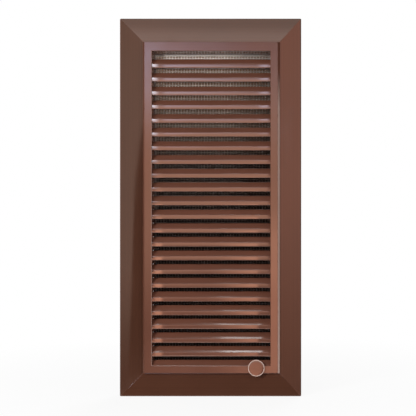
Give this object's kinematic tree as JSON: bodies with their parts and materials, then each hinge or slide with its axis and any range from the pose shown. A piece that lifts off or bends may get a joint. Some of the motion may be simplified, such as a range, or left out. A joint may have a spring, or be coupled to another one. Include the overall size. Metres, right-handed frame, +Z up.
{
  "type": "louvre vent",
  "caption": "Tall moulded louvre vent for a wall opening: dished surround, push-in insert with fixed level slats, insect mesh behind them and a bare round badge.",
  "frame": {"origin": "middle of the vent on the wall plane, which is the plane of the surround's rear rim", "axes": "+Z up along the vent's height, +X to the right as seen from the front, -Y out of the wall towards the viewer"},
  "size_m": [0.168, 0.0256, 0.35],
  "materials": {
    "surround_plastic": "gloss moulded brown ABS",
    "frame_plastic": "gloss moulded brown ABS",
    "slat_plastic": "gloss moulded brown ABS, with faint moulding lines",
    "mesh_plastic": "fine moulded net, satin",
    "retainer_plastic": "satin moulded dark brown ABS",
    "badge_plastic": "gloss moulded brown ABS",
    "screw_steel": "zinc plated"
  },
  "bodies": {
    "surround": {"surround": "surround_plastic", "fixing_screw_1": "screw_steel", "fixing_screw_2": "screw_steel", "fixing_screw_3": "screw_steel", "fixing_screw_4": "screw_steel"},
    "insert": {"louvre_frame": "frame_plastic", "slat_01": "slat_plastic", "slat_02": "slat_plastic", "slat_03": "slat_plastic", "slat_04": "slat_plastic", "slat_05": "slat_plastic", "slat_06": "slat_plastic", "slat_07": "slat_plastic", "slat_08": "slat_plastic", "slat_09": "slat_plastic", "slat_10": "slat_plastic", "slat_11": "slat_plastic", "slat_12": "slat_plastic", "slat_13": "slat_plastic", "slat_14": "slat_plastic", "slat_15": "slat_plastic", "slat_16": "slat_plastic", "slat_17": "slat_plastic", "slat_18": "slat_plastic", "slat_19": "slat_plastic", "slat_20": "slat_plastic", "slat_21": "slat_plastic", "slat_22": "slat_plastic", "insect_mesh": "mesh_plastic", "mesh_retainer": "retainer_plastic", "retainer_screw_1": "screw_steel", "retainer_screw_2": "screw_steel", "retainer_screw_3": "screw_steel", "retainer_screw_4": "screw_steel", "retainer_screw_5": "screw_steel", "retainer_screw_6": "screw_steel", "badge_disc": "badge_plastic"}
  },
  "joints": [
    {"name": "insert_pull", "type": "slide", "parent": "surround", "child": "insert", "axis": [0, -1, 0], "range_m": [0, 0.06]}
  ]
}
